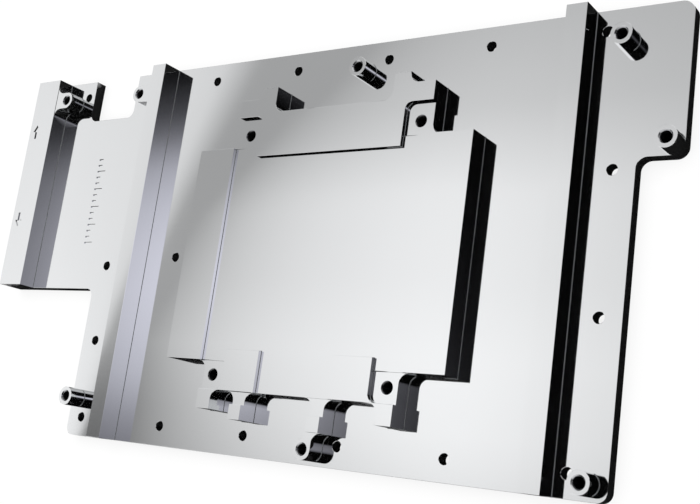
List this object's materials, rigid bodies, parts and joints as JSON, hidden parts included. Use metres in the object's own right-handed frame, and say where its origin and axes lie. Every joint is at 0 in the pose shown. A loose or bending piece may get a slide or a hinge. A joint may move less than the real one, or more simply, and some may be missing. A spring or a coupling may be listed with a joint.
{
  "type": "gpu water block cold plate",
  "caption": "Machined nickel-plated copper cold plate of a full-cover gpu water block, with a stepped centre pedestal, two bars, threaded bosses and edge screw holes.",
  "frame": {"origin": "middle of the four gpu screws, on the face that the bars and bosses stand on", "axes": "+Z out of the side that faces the graphics card, +X along the card away from the port end, +Y towards the card's top edge"},
  "size_m": [0.2146, 0.111, 0.0094],
  "materials": {
    "nickel_plate": "mirror polished nickel plating on copper"
  },
  "bodies": {
    "root": {"cold_plate": "nickel_plate"}
  },
  "joints": []
}
